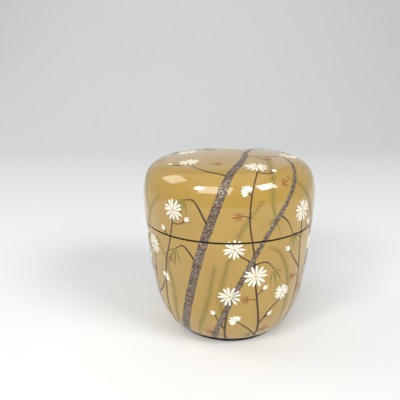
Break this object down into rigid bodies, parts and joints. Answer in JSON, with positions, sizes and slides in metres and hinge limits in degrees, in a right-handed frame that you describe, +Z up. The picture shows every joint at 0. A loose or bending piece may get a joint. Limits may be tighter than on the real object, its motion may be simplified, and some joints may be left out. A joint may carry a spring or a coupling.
{
  "type": "natsume tea caddy",
  "caption": "Round lacquered tea caddy with a domed lid that lifts off over a thin raised lip, and a hollow chamber for powdered tea.",
  "frame": {"origin": "centre of the base, on the surface the caddy stands on", "axes": "+Z up along the axis the caddy is turned about; -Y towards the viewer of the reference view, +X to that viewer's right"},
  "size_m": [0.066, 0.066, 0.069],
  "materials": {
    "turned_wood": "turned and sealed, hidden under lacquer",
    "tan_lacquer": "polished tan lacquer, high gloss",
    "black_lacquer": "polished black lacquer, high gloss"
  },
  "bodies": {
    "caddy": {"body_core": "turned_wood", "body_outer_lacquer": "tan_lacquer", "body_inner_lacquer": "black_lacquer", "foot_lacquer": "black_lacquer"},
    "lid": {"lid_core": "turned_wood", "lid_outer_lacquer": "tan_lacquer", "lid_inner_lacquer": "black_lacquer"}
  },
  "joints": [
    {"name": "lid_lift", "type": "slide", "parent": "caddy", "child": "lid", "axis": [0, 0, 1], "range_m": [0, 0.045]}
  ]
}
